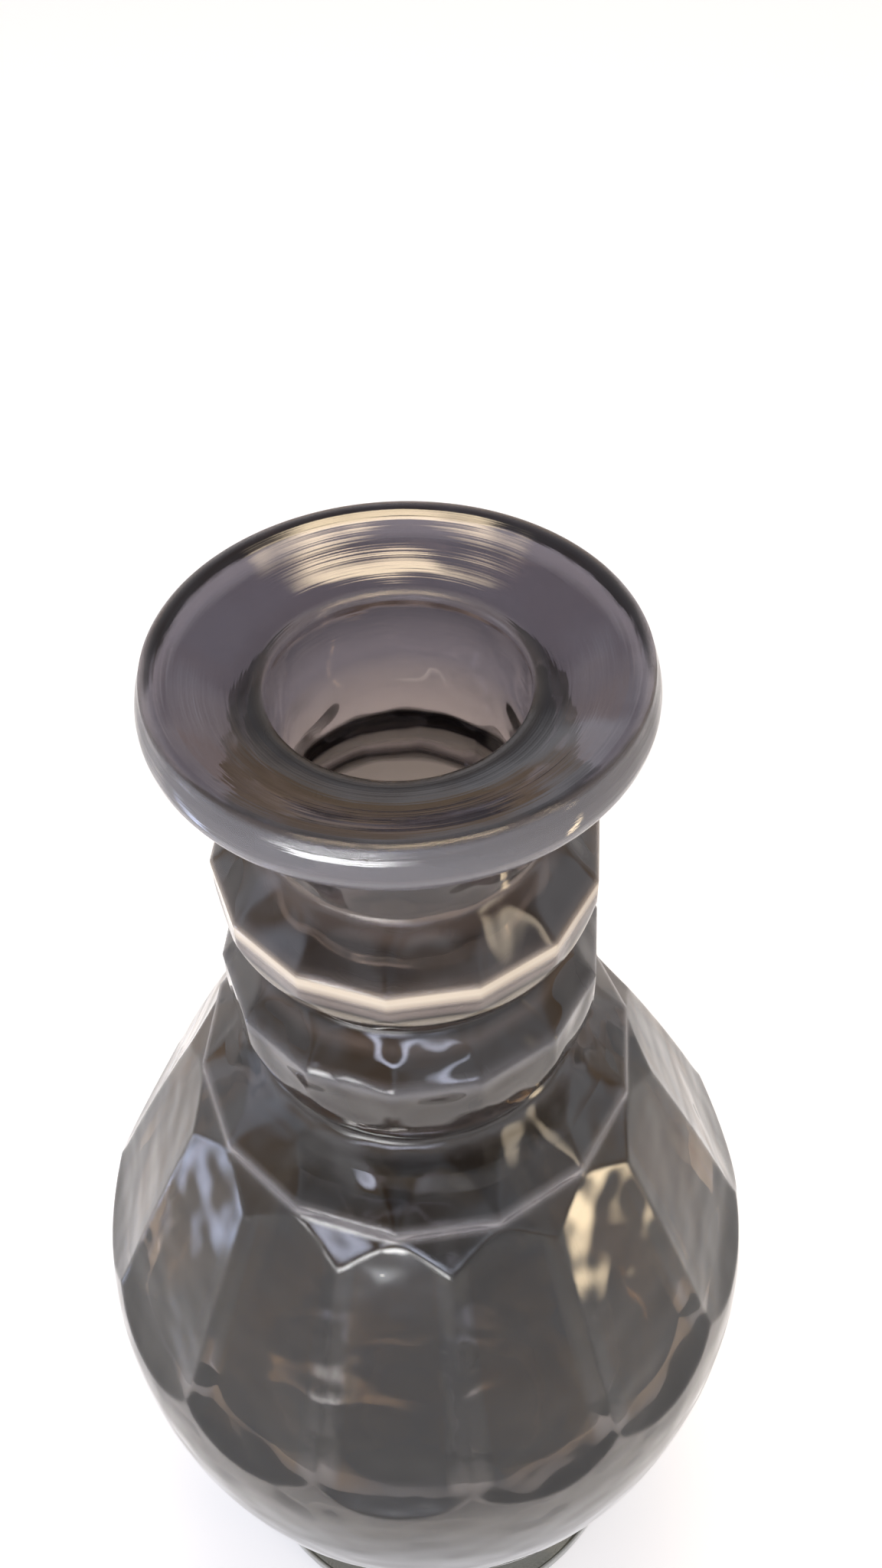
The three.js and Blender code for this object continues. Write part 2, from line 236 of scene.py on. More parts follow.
class Flute:
    """One flute's cut, seen in the upright plane through its middle: a long arc that starts under the ridge band,
    and the arc of a smaller wheel that touches its lower end and leaves the glass."""

    def __init__(self, shape, outline):
        self.hollow = shape.flute_hollow
        top_height = shape.ridge_height - shape.ridge_band
        end_height = top_height - shape.flute_length
        top = np.array((shape.ridge_radius, top_height))
        end = self.sunk(outline, end_height, shape.flute_end_depth)
        leave = self.sunk(outline, end_height - shape.flute_run_out, 0)
        chord = end - top
        outwards = np.array((-chord[1], chord[0])) / np.hypot(*chord)
        self.radius = (chord @ chord / 4 + shape.flute_bow ** 2) / (2 * shape.flute_bow)
        self.centre = top + chord / 2 + outwards * (shape.flute_bow - self.radius)
        self.outward = (end - self.centre) / np.hypot(*(end - self.centre))
        run = leave - end
        self.wheel_radius = (run @ run) / (2 * (run @ self.outward))
        self.wheel_centre = end + self.outward * self.wheel_radius

    @staticmethod
    def sunk(outline, height, depth):
        """The outline's point at a height, moved inwards square to the outline."""
        radius = np.interp(height, outline[:, 1], outline[:, 0])
        step = 0.5 * MM
        slope = (np.interp(height + step, outline[:, 1], outline[:, 0]) - radius) / step
        inward = np.array((-1.0, slope)) / math.hypot(1, slope)
        return np.array((radius, height)) + depth * inward

    def touch_height(self, across):
        """Height where the long arc passes into the wheel's arc, at a distance across the flute."""
        lift = across ** 2 / (2 * self.hollow)
        return self.centre[1] + (self.radius + lift) * self.outward[1]

    def forward(self, across, height):
        """Distance of the cut from the upright plane through the axis, at a distance across the flute: the arc's
        circle grows by across^2 / (2 hollow), and the wheel's circle shrinks by as much."""
        lift = across ** 2 / (2 * self.hollow)
        sweep_square = (self.radius + lift) ** 2 - (height - self.centre[1]) ** 2
        sweep = self.centre[0] + np.sqrt(np.maximum(sweep_square, 0))
        wheel_square = (self.wheel_radius - lift) ** 2 - (height - self.wheel_centre[1]) ** 2
        wheel = self.wheel_centre[0] - np.sqrt(np.maximum(wheel_square, 0))
        wheel = np.where(wheel_square > 0, wheel, 1.0)
        return np.where(height >= self.touch_height(across), sweep, wheel)

    def at(self, angle, height):
        """Radius of the cut at an angle from the flute's middle, found by repeating r = forward(r sin a) / cos a."""
        radius = self.forward(np.zeros_like(height), height)
        for _ in range(6):
            radius = self.forward(np.minimum(radius, 2 * BELLY_RADIUS) * np.sin(angle), height) / np.cos(angle)
        return radius


def facet(corner_radius, half, angle):
    """Radius of a flat between two corners, at an angle from the nearer corner: corner cos h / cos (h - a)."""
    return corner_radius * math.cos(half) / np.cos(half - angle)


def first_below(heights, gap):
    """For each column, the height where gap first turns positive going up, between two rows."""
    inside = gap > 0
    row = np.argmax(inside, axis=0)
    column = np.arange(gap.shape[1])
    before = np.maximum(row - 1, 0)
    g0, g1 = gap[before, column], gap[row, column]
    share = np.where(row > 0, -g0 / np.where(g1 == g0, 1, g1 - g0), 0)
    return heights[before] + np.clip(share, 0, 1) * (heights[row] - heights[before])


def between(low, high, steps):
    """Rows of heights from low to high in each column, without the first row."""
    t = np.linspace(0, 1, steps + 1)[1:, None]
    return low[None, :] * (1 - t) + high[None, :] * t


def bulb_rows(shape, angles, half):
    """Radius and height grids of the bulb's outside: the turned outline, cut to the least of the flutes and the
    spurs, with rows laid along each cut's edge, then the upright flats of the ridge band."""
    outline = bulb_outline(shape, 160)
    flute = Flute(shape, outline)
    ridge = shape.ridge_height - shape.ridge_band
    spur_low = ridge - shape.spur_length
    spur_radius = np.interp(spur_low, outline[:, 1], outline[:, 0]) / math.cos(half)
    spur_spread = (spur_radius - shape.ridge_radius) / shape.spur_length
    fine = np.linspace(shape.belly_height, ridge, 900)
    turned = np.interp(fine, outline[:, 1], outline[:, 0])[:, None]
    cut = flute.at(angles[None, :], np.repeat(fine[:, None], len(angles), 1))
    spur = facet(shape.ridge_radius + (ridge - fine[:, None]) * spur_spread, half, angles[None, :])
    arch = first_below(fine, turned - cut)
    arch = np.minimum(arch, ridge - shape.spur_length - 2 * MM)
    spur_edge = first_below(fine, np.minimum(turned, cut) - spur)
    spur_edge = np.where(spur_edge > spur_low - 6 * MM, spur_edge, ridge)
    spur_edge = np.clip(spur_edge, arch + 1 * MM, ridge - 0.02 * MM)
    touch = np.clip(flute.touch_height(np.interp(arch, outline[:, 1], outline[:, 0]) * np.sin(angles)),
                    arch + 0.5 * MM, spur_edge - 0.5 * MM)
    one = np.ones_like(angles)
    heights = np.vstack([
        (FOOT_TOP * one)[None, :],
        between(FOOT_TOP * one, shape.belly_height * one, 34),
        between(shape.belly_height * one, arch, 10),
        between(arch, touch, 12),
        between(touch, spur_edge, 34),
        between(spur_edge, ridge * one, 8),
    ])
    turned = np.interp(heights, outline[:, 1], outline[:, 0])
    cut = flute.at(np.repeat(angles[None, :], len(heights), 0), heights)
    spur = facet(shape.ridge_radius + (ridge - heights) * spur_spread, half, angles[None, :])
    radii = np.minimum(turned, np.where(heights >= arch - 1e-7, cut, 1.0))
    radii = np.minimum(radii, np.where(heights > spur_low - 6 * MM, spur, 1.0))
    band_heights = between(ridge * one, shape.ridge_height * one, 3)
    band = np.repeat(facet(shape.ridge_radius, half, angles)[None, :], len(band_heights), 0)
    return np.vstack([radii, band]), np.vstack([heights, band_heights])


def shoulder_rows(shape, angles, half):
    """Radius and height grids from the ridge to the groove under the lower ring: flat panels that end in arches on
    the turned slope, then a cove."""
    panel_slope = math.radians(43.6)
    panel_fall = 1 / math.tan(panel_slope)
    top = shape.ridge_height + shape.panel_height
    top_radius = (shape.ridge_radius - shape.panel_height * panel_fall) * math.cos(half)
    panel = facet(shape.ridge_radius, half, angles) / shape.ridge_radius
    turned_fall = (shape.ridge_radius - top_radius) / shape.panel_height
    # The panel's flat and the turned slope meet where panel (R - f h) = R - g h
    meet = shape.ridge_radius * (1 - panel) / np.maximum(turned_fall - panel * panel_fall, 1e-9)
    meet = shape.ridge_height + np.clip(meet, 0.02 * MM, shape.panel_height - 0.02 * MM)
    one = np.ones_like(angles)
    heights = np.vstack([
        between(shape.ridge_height * one, meet, 8),
        between(meet, top * one, 6),
    ])
    above = heights - shape.ridge_height
    radii = np.minimum(panel * (shape.ridge_radius - panel_fall * above), shape.ridge_radius - turned_fall * above)
    cove_height = LOWER_RING_BOTTOM - top
    cove = bezier(
        (top_radius, top),
        (shape.seat_radius + 0.4 * (top_radius - shape.seat_radius), top + 0.35 * cove_height),
        (shape.seat_radius, top + 0.75 * cove_height),
        (shape.seat_radius, LOWER_RING_BOTTOM),
        8,
    )
    return np.vstack([radii, cove[:, :1] * one]), np.vstack([heights, cove[:, 1:] * one])


def ring_rows(angles, half, bottom, top, bottom_radius, top_radius, crest, crest_height, band):
    """Radius and height grids of a neck ring: a turned, rounded underside, an upright band of flats and sloping
    facets above it, each the least of the turned collar and the flat."""
    turned_crest = crest + 0.4 * MM
    low, high = crest_height - band / 2, crest_height + band / 2
    under = bezier(
        (bottom_radius, 0),
        (bottom_radius + 0.45 * (turned_crest - bottom_radius), 0.2 * low),
        (turned_crest, 0.62 * low),
        (turned_crest, low),
        60,
    )
    under = np.vstack([[(bottom_radius, 0)], under])
    flat = facet(crest, half, angles)
    edge = np.interp(flat, under[:, 0], under[:, 1])
    one = np.ones_like(angles)
    height = top - bottom
    heights = np.vstack([
        between(0 * one, edge, 12),
        between(edge, high * one, 6),
        between(high * one, height * one, 14),
    ])
    collar_heights = np.append(under[:, 1], (high, height))
    collar_radii = np.append(under[:, 0], (turned_crest, top_radius))
    turned = np.interp(heights, collar_heights, collar_radii)
    share = np.clip((heights - high) / (height - high), 0, 1)
    corner = crest + share * (top_radius / math.cos(half) - crest)
    return np.minimum(turned, facet(corner, half, angles[None, :])), heights + bottom


def foot_profile(shape):
    """Turned profile of the foot from the middle of its underside to the bulb's seat."""
    pontil_radius, pontil_top, pontil_shoulder, hollow = 13 * MM, 2.4 * MM, 1.36 * MM, 0.8 * MM
    rest_radius, rounding = 30 * MM, 1.4 * MM
    edge = shape.foot_edge_height
    spread = FOOT_RADIUS - shape.stem_radius
    rise = FOOT_TOP - edge
    return np.vstack([
        [(0, pontil_top)],
        bezier((0, pontil_top), (0.5 * pontil_radius, pontil_top), (0.85 * pontil_radius, pontil_shoulder),
               (pontil_radius, hollow), 8),
        line((pontil_radius, hollow), (rest_radius, 0), 5),
        line((rest_radius, 0), (FOOT_RADIUS - rounding, 0), 5),
        bezier((FOOT_RADIUS - rounding, 0), (FOOT_RADIUS, 0), (FOOT_RADIUS, 0), (FOOT_RADIUS, rounding), 5),
        line((FOOT_RADIUS, rounding), (FOOT_RADIUS, edge - rounding), 2),
        bezier((FOOT_RADIUS, edge - rounding), (FOOT_RADIUS, edge), (FOOT_RADIUS, edge),
               (FOOT_RADIUS - rounding, edge), 5),
        bezier((FOOT_RADIUS - rounding, edge), (shape.stem_radius + 0.35 * spread, edge + 0.12 * rise),
               (shape.stem_radius, edge + 0.4 * rise), (shape.stem_radius, FOOT_TOP), 14)[:-1],
    ])


def neck_profile(shape):
    """Turned profile of the bare neck from the upper ring to the lip's underside."""
    fillet = 1.6 * MM
    return np.vstack([
        bezier((shape.neck_radius + 0.9 * MM, UPPER_RING_TOP), (shape.neck_radius, UPPER_RING_TOP + 0.3 * fillet),
               (shape.neck_radius, UPPER_RING_TOP + 0.6 * fillet), (shape.neck_radius, UPPER_RING_TOP + fillet), 5),
        line((shape.neck_radius, UPPER_RING_TOP + fillet), (shape.neck_radius, NECK_END), 6),
    ])


def lip_profile(shape):
    """Turned profile of the lip: coved underside, rounded rim, dished top and the mouth's rounded edge."""
    overhang = LIP_RADIUS - shape.neck_radius
    bulge, rounding = 1.1 * MM, 0.7 * MM
    low = LIP_TOP - 7 * MM
    cove = low - NECK_END
    rim_top = (LIP_RADIUS - 0.8 * bulge, LIP_TOP - rounding)
    crown = (rim_top[0] - rounding, LIP_TOP)
    mouth = (shape.mouth_radius + rounding, LIP_TOP - shape.dish_depth)
    throat = (shape.mouth_radius, mouth[1] - rounding)
    width = crown[0] - mouth[0]
    return np.vstack([
        bezier((shape.neck_radius, NECK_END), (shape.neck_radius + 0.04 * overhang, NECK_END + 0.35 * cove),
               (shape.neck_radius + 0.42 * overhang, NECK_END + 0.82 * cove), (LIP_RADIUS - bulge, low), 14),
        bezier((LIP_RADIUS - bulge, low), (LIP_RADIUS + 0.4 * bulge, low + 1.4 * MM),
               (LIP_RADIUS + 0.4 * bulge, rim_top[1] - 2.8 * MM), rim_top, 16),
        bezier(rim_top, (rim_top[0], LIP_TOP), (rim_top[0], LIP_TOP), crown, 5),
        bezier(crown, (crown[0] - 0.3 * width, LIP_TOP - 0.15 * shape.dish_depth),
               (crown[0] - 0.62 * width, LIP_TOP - 0.98 * shape.dish_depth), mouth, 16),
        bezier(mouth, (shape.mouth_radius, mouth[1]), (shape.mouth_radius, mouth[1]), throat, 5),
    ])


def inside_profile(shape):
    """Turned profile of the inside: ground bore, neck, the swell under the shoulder and the rounded floor."""
    taper, ground = 2.1 * MM, 36 * MM
    mouth = LIP_TOP - shape.dish_depth
    bore_end = (shape.mouth_radius - taper, mouth - ground)
    neck = (shape.neck_inside, bore_end[1] - 2 * abs(shape.neck_inside - bore_end[0]))
    shoulder = (shape.neck_inside, LOWER_RING_BOTTOM - 3 * MM)
    belly = (BELLY_RADIUS - shape.wall, shape.belly_height)
    upper = shape.ridge_height - shape.belly_height
    floor = FOOT_TOP + shape.floor
    return np.vstack([
        line((shape.mouth_radius, mouth - 0.7 * MM), bore_end, 8),
        line(bore_end, neck, 2),
        line(neck, shoulder, 6),
        bezier(shoulder, (shape.neck_inside, shape.ridge_height - 0.02 * upper),
               (belly[0], shape.belly_height + 0.58 * upper), belly, 30),
        bezier(belly, (belly[0], FOOT_TOP + 0.45 * (shape.belly_height - FOOT_TOP)), (0.62 * belly[0], floor),
               (0, floor), 34),
    ])


def turned_rows(profile, count):
    """A turned profile as radius and height grids, the same in every column."""
    return np.repeat(profile[:, :1], count, 1), np.repeat(profile[:, 1:], count, 1)


def carafe_grids(shape):
    """Radius and height grids of the whole skin for the columns of half a facet, and those columns' angles."""
    half = math.pi / shape.facets
    angles = np.linspace(0, half, COLUMNS_PER_HALF_FACET + 1)
    count = len(angles)
    crest_lower = node_radius("lower_neck_ring")
    crest_upper = node_radius("upper_neck_ring")
    stretches = [
        turned_rows(foot_profile(shape), count),
        bulb_rows(shape, angles, half),
        shoulder_rows(shape, angles, half),
        ring_rows(angles, half, LOWER_RING_BOTTOM, UPPER_RING_BOTTOM, shape.seat_radius, shape.groove_radius,
                  crest_lower, shape.lower_crest, shape.crest_band),
        ring_rows(angles, half, UPPER_RING_BOTTOM, UPPER_RING_TOP, shape.groove_radius,
                  shape.neck_radius + 0.9 * MM, crest_upper, shape.upper_crest, shape.crest_band),
        turned_rows(neck_profile(shape), count),
        turned_rows(lip_profile(shape), count),
        turned_rows(inside_profile(shape), count),
    ]
    radii = np.vstack([r for r, _ in stretches])
    heights = np.vstack([h for _, h in stretches])
    return radii, heights, angles


def round_the_axis(radii, heights, angles, facets):
    """The half facet's grids mirrored and repeated all the way round. Column j stands at its angle from -Y, and the
    half facet is read forwards on one side of a corner and backwards on the other."""
    steps = len(angles) - 1
    order = np.concatenate([np.arange(steps), steps - np.arange(steps)])
    order = np.tile(order, facets)
    turn = np.arange(len(order)) * (angles[-1] / steps)
    r, z = radii[:, order], heights[:, order]
    return np.stack([r * np.sin(turn), -r * np.cos(turn), z], -1)


def skin_mesh(name, points):
    """A closed mesh from a grid of points whose first and last rows lie on the axis and whose columns close round."""
    rows, columns = points.shape[:2]
    body = points[1:-1].reshape(-1, 3)
    vertices = np.vstack([points[:1, 0], body, points[-1:, 0]])
    ring = np.arange(columns)
    after = np.roll(ring, -1)
    row = np.arange(rows - 3)[:, None] * columns + 1
    a, b = row + ring, row + after
    quads = np.stack([a, b, b + columns, a + columns], -1).reshape(-1, 4)
    last = len(vertices) - 1
    top_row = (rows - 3) * columns + 1
    start_cap = np.stack([np.zeros(columns, int), 1 + after, 1 + ring], -1)
    end_cap = np.stack([np.full(columns, last), top_row + ring, top_row + after], -1)
    mesh = bpy.data.meshes.new(name)
    mesh.from_pydata(vertices, [], quads.tolist() + start_cap.tolist() + end_cap.tolist())
    mesh.validate()
    mesh.polygons.foreach_set("use_smooth", np.ones(len(mesh.polygons), bool))
    return mesh


def tidy_mesh(mesh):
    """Merges rows that meet at a point, keeps cut edges crisp, and stops if the skin is open or inside out."""
    import bmesh

    work = bmesh.new()
    work.from_mesh(mesh)
    bmesh.ops.remove_doubles(work, verts=work.verts, dist=0.004 * MM)
    bmesh.ops.dissolve_degenerate(work, edges=work.edges, dist=0.002 * MM)
    open_edges = sum(1 for edge in work.edges if len(edge.link_faces) != 2)
    volume = work.calc_volume(signed=True)
    work.to_mesh(mesh)
    work.free()
    if open_edges or volume <= 0:
        raise RuntimeError(f"{mesh.name}: {open_edges} open edges, volume {volume}")
    mesh.set_sharp_from_angle(angle=math.radians(20))


def add_node(tree, kind, links=(), **settings):
    """Adds a node, sets its inputs or attributes by name, and links (from socket, to input name) pairs."""
    node = tree.nodes.new(kind)
    for name, value in settings.items():
        title = name.replace("_", " ")
        if title in node.inputs:
            node.inputs[title].default_value = value
        else:
            setattr(node, name, value)
    for source, target in links:
        tree.links.new(source, node.inputs[target])
    return node


def new_material(name):
    """An empty node material and its tree."""
    material = bpy.data.materials.new(name)
    material.use_nodes = True
    material.node_tree.nodes.clear()
    return material, material.node_tree


def climb(tree, source, start, end, low=0.0, high=1.0, smooth=False):
    """A value that goes from low to high while the source goes from start to end, and stays level beyond them."""
    node = add_node(
        tree,
        "ShaderNodeMapRange",
        [(source, "Value")],
        interpolation_type="SMOOTHSTEP" if smooth else "LINEAR",
        From_Min=start,
        From_Max=end,
        To_Min=low,
        To_Max=high,
    )
    return node.outputs["Result"]


def maths(tree, operation, *values):
    """The result of a math node. Each value is a socket or a plain number."""
    node = add_node(tree, "ShaderNodeMath", operation=operation)
    for socket, value in zip(node.inputs, values):
        if isinstance(value, bpy.types.NodeSocket):
            tree.links.new(value, socket)
        else:
            socket.default_value = value
    return node.outputs["Value"]


def noise(tree, place, size_mm, detail):
    """A soft random value between 0 and 1, whose spots are about this many millimetres wide."""
    return add_node(
        tree, "ShaderNodeTexNoise", [(place, "Vector")], Scale=1 / (size_mm * MM), Detail=detail
    ).outputs["Fac"]


def mixed(tree, share, first, second):
    """A colour that goes from the first socket's to the second as the share goes from 0 to 1. The second is a socket
    or an sRGB hex colour."""
    node = add_node(tree, "ShaderNodeMix", [(share, "Factor")], data_type="RGBA")
    colour_a, colour_b, result = 6, 7, 2
    tree.links.new(first, node.inputs[colour_a])
    if isinstance(second, bpy.types.NodeSocket):
        tree.links.new(second, node.inputs[colour_b])
    else:
        node.inputs[colour_b].default_value = linear(second)
    return node.outputs[result]


def two_colours(tree, source, first, second):
    """A ramp from one place and linear colour to another."""
    node = add_node(tree, "ShaderNodeValToRGB", [(source, "Fac")])
    for end, (position, colour) in zip(node.color_ramp.elements, (first, second)):
        end.position, end.color = position, linear(colour)
    return node.outputs["Color"]


def bumped(tree, height, strength, distance_mm, under=None):
    """A normal bent by a height in millimetres, on top of another normal where one is given."""
    links = [(height, "Height")] + ([(under, "Normal")] if under else [])
    return add_node(
        tree, "ShaderNodeBump", links, Strength=strength, Distance=distance_mm * MM
    ).outputs["Normal"]


def arch_height(shape):
    """Height at which the middle of a flute leaves the belly."""
    return shape.ridge_height - shape.ridge_band - shape.flute_length - shape.flute_run_out


def places_on_glass(tree, shape):
    """Where a point of the glass lies: its coordinates, its distance from the axis, and values from 0 to 1 for being
    on the lip, above the shoulder, in the bore and on the rim."""
    here = SimpleNamespace()
    here.place = add_node(tree, "ShaderNodeTexCoord").outputs["Object"]
    apart = add_node(tree, "ShaderNodeSeparateXYZ", [(here.place, "Vector")]).outputs
    here.x, here.y, here.z = apart["X"], apart["Y"], apart["Z"]
    flat = add_node(tree, "ShaderNodeCombineXYZ", [(here.x, "X"), (here.y, "Y")]).outputs["Vector"]
    here.radius = add_node(tree, "ShaderNodeVectorMath", [(flat, "Vector")], operation="LENGTH").outputs["Value"]
    here.on_lip = climb(tree, here.z, NECK_END, LIP_TOP - 5 * MM)
    here.on_neck = climb(tree, here.z, LOWER_RING_BOTTOM - 6 * MM, LOWER_RING_BOTTOM - 4 * MM)
    bore = climb(tree, here.radius, shape.mouth_radius + 2 * MM, shape.mouth_radius + 1 * MM)
    here.in_bore = maths(tree, "MULTIPLY", bore, here.on_neck)
    rim = climb(tree, here.radius, LIP_RADIUS - 2.4 * MM, LIP_RADIUS - 0.6 * MM, smooth=True)
    here.on_rim = maths(tree, "MULTIPLY", rim, here.on_lip)
    return here


def hand_cut_relief(tree, here, shape):
    """The normal of eased edges, of the wheel's waves and of the lip's turning streaks."""
    wave_mm, wave_depth_mm, ring_gain = 11, 1.2, 2.6
    streak_mm, streak_depth_mm, edge_mm = 1.1, 0.12, 1.6
    # Acid polishing eases every cut edge, and so the edges catch a soft line of light. Below the arches nothing is cut
    arches = arch_height(shape)
    edge = climb(tree, here.z, arches - 8 * MM, arches - 3 * MM, high=edge_mm * MM)
    eased = add_node(tree, "ShaderNodeBevel", [(edge, "Radius")], samples=8).outputs["Normal"]
    # Waves of the hand-held wheel, deeper on the rings, where the facets are small
    level = maths(tree, "SUBTRACT", noise(tree, here.place, wave_mm, 1.0), 0.5)
    on_rings = maths(tree, "SUBTRACT", here.on_neck, here.on_lip)
    wavy = maths(tree, "MULTIPLY", level, climb(tree, on_rings, 0, 1, low=1.0, high=ring_gain))
    soft = bumped(tree, wavy, 0.5, wave_depth_mm, eased)
    # The lip's dish was smoothed on a turning iron: its streaks run round the axis, so the noise is read by radius
    # and height alone, and fades out below the lip
    round_axis = add_node(tree, "ShaderNodeCombineXYZ", [(here.radius, "X"), (here.z, "Z")]).outputs["Vector"]
    streaks = maths(tree, "MULTIPLY", noise(tree, round_axis, streak_mm, 2.0), here.on_lip)
    return bumped(tree, streaks, 0.8, streak_depth_mm, soft)


def tints_and_painted_light_by_height(tree, here, glass, shape):
    """Tint and clearness by height: the foot is darkest and the rings are clearest. Crests, ridge band and the upper
    ring's underside carry painted highlights, the grooves and a line under the upper ring's crest carry painted shade,
    and the ramp's alpha says how clear each is."""
    crest = UPPER_RING_BOTTOM + shape.upper_crest
    band = shape.ridge_height - shape.ridge_band
    arches = arch_height(shape)
    stops = [
        (FOOT_TOP, glass.foot_tint, 1.0),
        (arches - 12 * MM, glass.foot_tint, 1.0),
        (arches + 4 * MM, glass.body_tint, 1.0),
        (band - 0.8 * MM, glass.body_tint, 1.0),
        # Painted highlight along the ridge band
        (band, glass.rim_ridge_crest_highlight, 0.87),
        (shape.ridge_height, glass.rim_ridge_crest_highlight, 0.87),
        (shape.ridge_height + 0.8 * MM, glass.body_tint, 1.0),
        (LOWER_RING_BOTTOM - 3 * MM, glass.body_tint, 1.0),
        # Painted shade in the groove under the lower ring
        (LOWER_RING_BOTTOM - 0.5 * MM, glass.painted_groove_shade, 0.85),
        (LOWER_RING_BOTTOM + 4 * MM, glass.painted_groove_shade, 0.85),
        (LOWER_RING_BOTTOM + 7 * MM, glass.ring_tint, 0.98),
        (LOWER_RING_BOTTOM + 15.5 * MM, glass.ring_tint, 0.98),
        # Painted highlight along the lower ring's crest
        (LOWER_RING_BOTTOM + 16.5 * MM, glass.rim_ridge_crest_highlight, 0.92),
        (LOWER_RING_BOTTOM + 18.5 * MM, glass.rim_ridge_crest_highlight, 0.92),
        (LOWER_RING_BOTTOM + 19.5 * MM, glass.ring_tint, 0.98),
        (UPPER_RING_BOTTOM - 3 * MM, glass.ring_tint, 0.98),
        # Painted shade in the groove between the rings
        (UPPER_RING_BOTTOM - 1.2 * MM, glass.painted_groove_shade, 0.7),
        (UPPER_RING_BOTTOM + 1.5 * MM, glass.painted_groove_shade, 0.7),
        # Painted highlight on the upper ring's underside
        (UPPER_RING_BOTTOM + 3 * MM, glass.crest_highlight_tint, 1.0),
        (crest - 5.8 * MM, glass.crest_highlight_tint, 1.0),
        # Painted shade: a dark line under the upper ring's crest
        (crest - 5.2 * MM, glass.painted_groove_shade, 0.3),
        (crest - 3.8 * MM, glass.painted_groove_shade, 0.3),
        (crest - 3.2 * MM, glass.ring_tint, 0.9),
        (crest - 2.2 * MM, glass.ring_tint, 0.85),
        # Painted highlight along the upper ring's crest
        (crest - 1.4 * MM, glass.crest_highlight_tint, 0.45),
        (crest + 0.7 * MM, glass.crest_highlight_tint, 0.45),
        (crest + 1.2 * MM, glass.ring_tint, 0.96),
        (UPPER_RING_TOP - 0.8 * MM, glass.ring_tint, 0.96),
        # Painted shade where the upper ring meets the neck
        (UPPER_RING_TOP, glass.painted_groove_shade, 0.6),
        (UPPER_RING_TOP + 0.8 * MM, glass.ring_tint, 0.96),
        (NECK_END - 1 * MM, glass.lip_tint, 0.94),
    ]
    share = maths(tree, "DIVIDE", here.z, LIP_TOP)
    ramp = add_node(tree, "ShaderNodeValToRGB", [(share, "Fac")])
    marks = ramp.color_ramp.elements
    for mark, (height, tint, clearness) in zip([marks[0], marks[1]], [stops[0], stops[-1]]):
        mark.position, mark.color = height / LIP_TOP, (*linear(tint)[:3], clearness)
    for height, tint, clearness in stops[1:-1]:
        marks.new(height / LIP_TOP).color = (*linear(tint)[:3], clearness)
    return ramp.outputs["Color"], ramp.outputs["Alpha"]


def flute_shade_mask(tree, here, shape):
    """How much painted shade the flutes take: cos(facets * angle) is 1 along a flute's middle and -1 along a rib, which
    is left unshaded, and the painted shade runs from the arches up to the spurs."""
    arches = arch_height(shape)
    band = shape.ridge_height - shape.ridge_band
    angle = maths(tree, "ARCTAN2", here.x, here.y)
    across = maths(tree, "COSINE", maths(tree, "MULTIPLY", angle, shape.facets))
    hollow = climb(tree, across, -0.97, -0.5, smooth=True)
    low = climb(tree, here.z, arches, arches + 7 * MM, smooth=True)
    high = climb(tree, here.z, band, band - shape.spur_length, smooth=True)
    return maths(tree, "MULTIPLY", hollow, maths(tree, "MULTIPLY", low, high))


def cut_lead_glass(glass, shape):
    """Lead crystal, blown, wheel-cut and acid polished. Its high index throws hard dark lines along every edge, its
    smoky tint deepens where the glass is thick, and the waves that cutting by hand leaves bend what is seen in it."""
    material, tree = new_material("Smoky lead crystal, wheel cut and acid polished")
    patch_mm, bore_clearness, rim_scuffs = 24, 0.92, 0.06
    here = places_on_glass(tree, shape)
    tints_and_painted_light, clear_outside = tints_and_painted_light_by_height(tree, here, glass, shape)
    # The painted highlights and the painted groove shade are on the outside alone, so the bore has a tint of its own
    outer = mixed(tree, here.in_bore, tints_and_painted_light, glass.bore_tint)
    # Painted highlight: the lip's rim is paler
    with_rim_highlight = mixed(tree, here.on_rim, outer, glass.rim_ridge_crest_highlight)
    # Painted shade in the flutes, cooler here and warmer there
    flute_shade_patches = noise(tree, here.place, patch_mm, 3.0)
    painted_flute_colour = two_colours(tree, flute_shade_patches, (0.42, glass.cool_flute_shade), (0.6, glass.warm_flute_shade))
    tint = mixed(tree, flute_shade_mask(tree, here, shape), with_rim_highlight, painted_flute_colour)
    # Handling has scuffed the rings and the rim, so a little light stays in their surface. The bore is worn evenly
    outside = maths(tree, "SUBTRACT", clear_outside, maths(tree, "MULTIPLY", here.on_rim, rim_scuffs))
    clearness = maths(tree, "MAXIMUM", outside, maths(tree, "MULTIPLY", here.in_bore, bore_clearness))
    surface = add_node(
        tree,
        "ShaderNodeBsdfPrincipled",
        [
            (hand_cut_relief(tree, here, shape), "Normal"),
            (tint, "Base Color"),
            (clearness, "Transmission Weight"),
        ],
        Metallic=0.0,
        Roughness=0.0,
        IOR=glass.refraction,
    )
    depth = add_node(tree, "ShaderNodeVolumeAbsorption", Color=linear(glass.depth_tint), Density=glass.absorption)
    # Lamps shine through the skin on to the paper, so that the shadow stays pale and even
    path = add_node(tree, "ShaderNodeLightPath")
    clear = add_node(tree, "ShaderNodeBsdfTransparent", Color=linear(glass.lip_tint))
    skin = add_node(
        tree,
        "ShaderNodeMixShader",
        [(path.outputs["Is Shadow Ray"], 0), (surface.outputs["BSDF"], 1), (clear.outputs["BSDF"], 2)],
    )
    add_node(
        tree,
        "ShaderNodeOutputMaterial",
        [(skin.outputs["Shader"], "Surface"), (depth.outputs["Volume"], "Volume")],
    )
    return material


